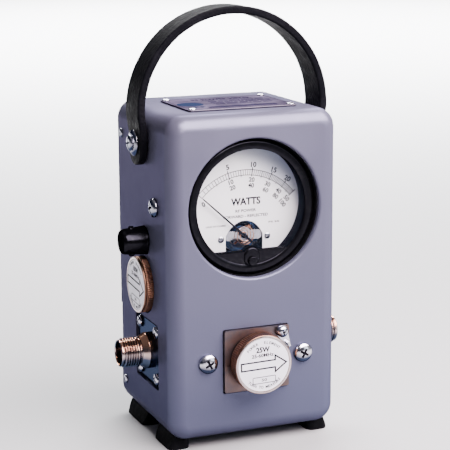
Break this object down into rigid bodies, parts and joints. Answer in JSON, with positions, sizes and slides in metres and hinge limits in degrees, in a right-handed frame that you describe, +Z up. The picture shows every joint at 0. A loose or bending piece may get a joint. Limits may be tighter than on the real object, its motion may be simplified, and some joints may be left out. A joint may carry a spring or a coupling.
{
  "type": "swr meter",
  "caption": "Portable through-line radio power and SWR meter: grey cast housing, round dial, plug-in element in a coaxial line section, screw connectors, leather strap.",
  "frame": {"origin": "on the ground under the middle of the object's bounding box", "axes": "+Z up, the dial and the plug-in element face -Y, the coaxial line runs along X"},
  "size_m": [0.125, 0.097, 0.2265],
  "materials": {
    "grey_paint": "satin lilac-grey enamel",
    "nameplate_metal": "satin anodised",
    "strap_leather": "pebbled, semi-matt",
    "line_brass": "bare, lightly tarnished",
    "cap_brass": "knurled, worn plating",
    "silver_plate": "polished silver plating",
    "bright_steel": "nickel plated",
    "black_bakelite": "moulded, glossy",
    "black_rubber": "matt",
    "lead_rubber": "matt",
    "window_glass": "clear",
    "dial_white": "matt white with black print",
    "pointer_black": "matt",
    "spring_bronze": "bright",
    "magnet_iron": "dark blue lacquer",
    "white_ptfe": "smooth"
  },
  "bodies": {
    "housing": {"housing_shell": "grey_paint", "rear_cover": "grey_paint", "nameplate": "nameplate_metal", "line_body": "line_brass", "centre_conductor": "silver_plate", "dc_jack": "line_brass", "catch_screw": "bright_steel", "spare_socket": "line_brass", "meter_case": "black_bakelite", "meter_window": "window_glass", "dial_plate": "dial_white", "hairspring": "spring_bronze", "movement_bridge": "bright_steel", "magnet": "magnet_iron", "shock_ring": "black_rubber", "meter_clamp": "nameplate_metal", "meter_lead": "lead_rubber", "foot_front_left": "black_rubber", "foot_front_right": "black_rubber", "foot_rear_left": "black_rubber", "foot_rear_right": "black_rubber", "rear_bumper_upper_left": "black_rubber", "cover_screw_upper_left": "bright_steel", "rear_bumper_upper_right": "black_rubber", "cover_screw_upper_right": "bright_steel", "rear_bumper_lower_left": "black_rubber", "cover_screw_lower_left": "bright_steel", "rear_bumper_lower_right": "black_rubber", "cover_screw_lower_right": "bright_steel", "strap_washer_left": "bright_steel", "strap_screw_left": "bright_steel", "front_screw_left": "bright_steel", "side_screw_left": "bright_steel", "connector_left": "silver_plate", "connector_contact_left": "silver_plate", "connector_insulator_left": "white_ptfe", "connector_screw_upper_front_left": "bright_steel", "connector_screw_upper_rear_left": "bright_steel", "connector_screw_lower_front_left": "bright_steel", "connector_screw_lower_rear_left": "bright_steel", "strap_washer_right": "bright_steel", "strap_screw_right": "bright_steel", "front_screw_right": "bright_steel", "side_screw_right": "bright_steel", "connector_right": "silver_plate", "connector_contact_right": "silver_plate", "connector_insulator_right": "white_ptfe", "connector_screw_upper_front_right": "bright_steel", "connector_screw_upper_rear_right": "bright_steel", "connector_screw_lower_front_right": "bright_steel", "connector_screw_lower_rear_right": "bright_steel"},
    "strap": {"strap": "strap_leather"},
    "element": {"element_cap": "cap_brass", "element_barrel": "silver_plate"},
    "spare": {"spare_cap": "cap_brass", "spare_barrel": "silver_plate"},
    "retainer": {"retainer_knob": "black_bakelite"},
    "catch": {"element_catch": "bright_steel"},
    "pointer": {"pointer": "pointer_black"},
    "adjuster": {"zero_adjuster": "black_bakelite"}
  },
  "joints": [
    {"name": "strap_swing", "type": "hinge", "parent": "housing", "child": "strap", "pos_m": [0, 0.001, 0.1577], "axis": [1, 0, 0], "range_deg": [-50, 50]},
    {"name": "element_turn", "type": "hinge", "parent": "housing", "child": "element", "pos_m": [0, -0.04, 0.0465], "axis": [0, 1, 0], "continuous": true},
    {"name": "spare_pull", "type": "slide", "parent": "housing", "child": "spare", "axis": [-1, 0, 0], "range_m": [0, 0.04]},
    {"name": "retainer_turn", "type": "hinge", "parent": "housing", "child": "retainer", "pos_m": [-0.05, 0, 0.1063], "axis": [1, 0, 0], "range_deg": [-90, 90]},
    {"name": "catch_swing", "type": "hinge", "parent": "housing", "child": "catch", "pos_m": [0.0134, -0.041, 0.0608], "axis": [0, -1, 0], "range_deg": [0, 60]},
    {"name": "pointer_swing", "type": "hinge", "parent": "housing", "child": "pointer", "pos_m": [0, -0.0245, 0.109], "axis": [0, 1, 0], "range_deg": [0, 99], "stiffness_Nm_per_rad": 0.00004, "springref_deg": -8.59},
    {"name": "zero_adjust", "type": "hinge", "parent": "housing", "child": "adjuster", "pos_m": [0, -0.034, 0.098], "axis": [0, 1, 0], "range_deg": [-60, 60]}
  ]
}
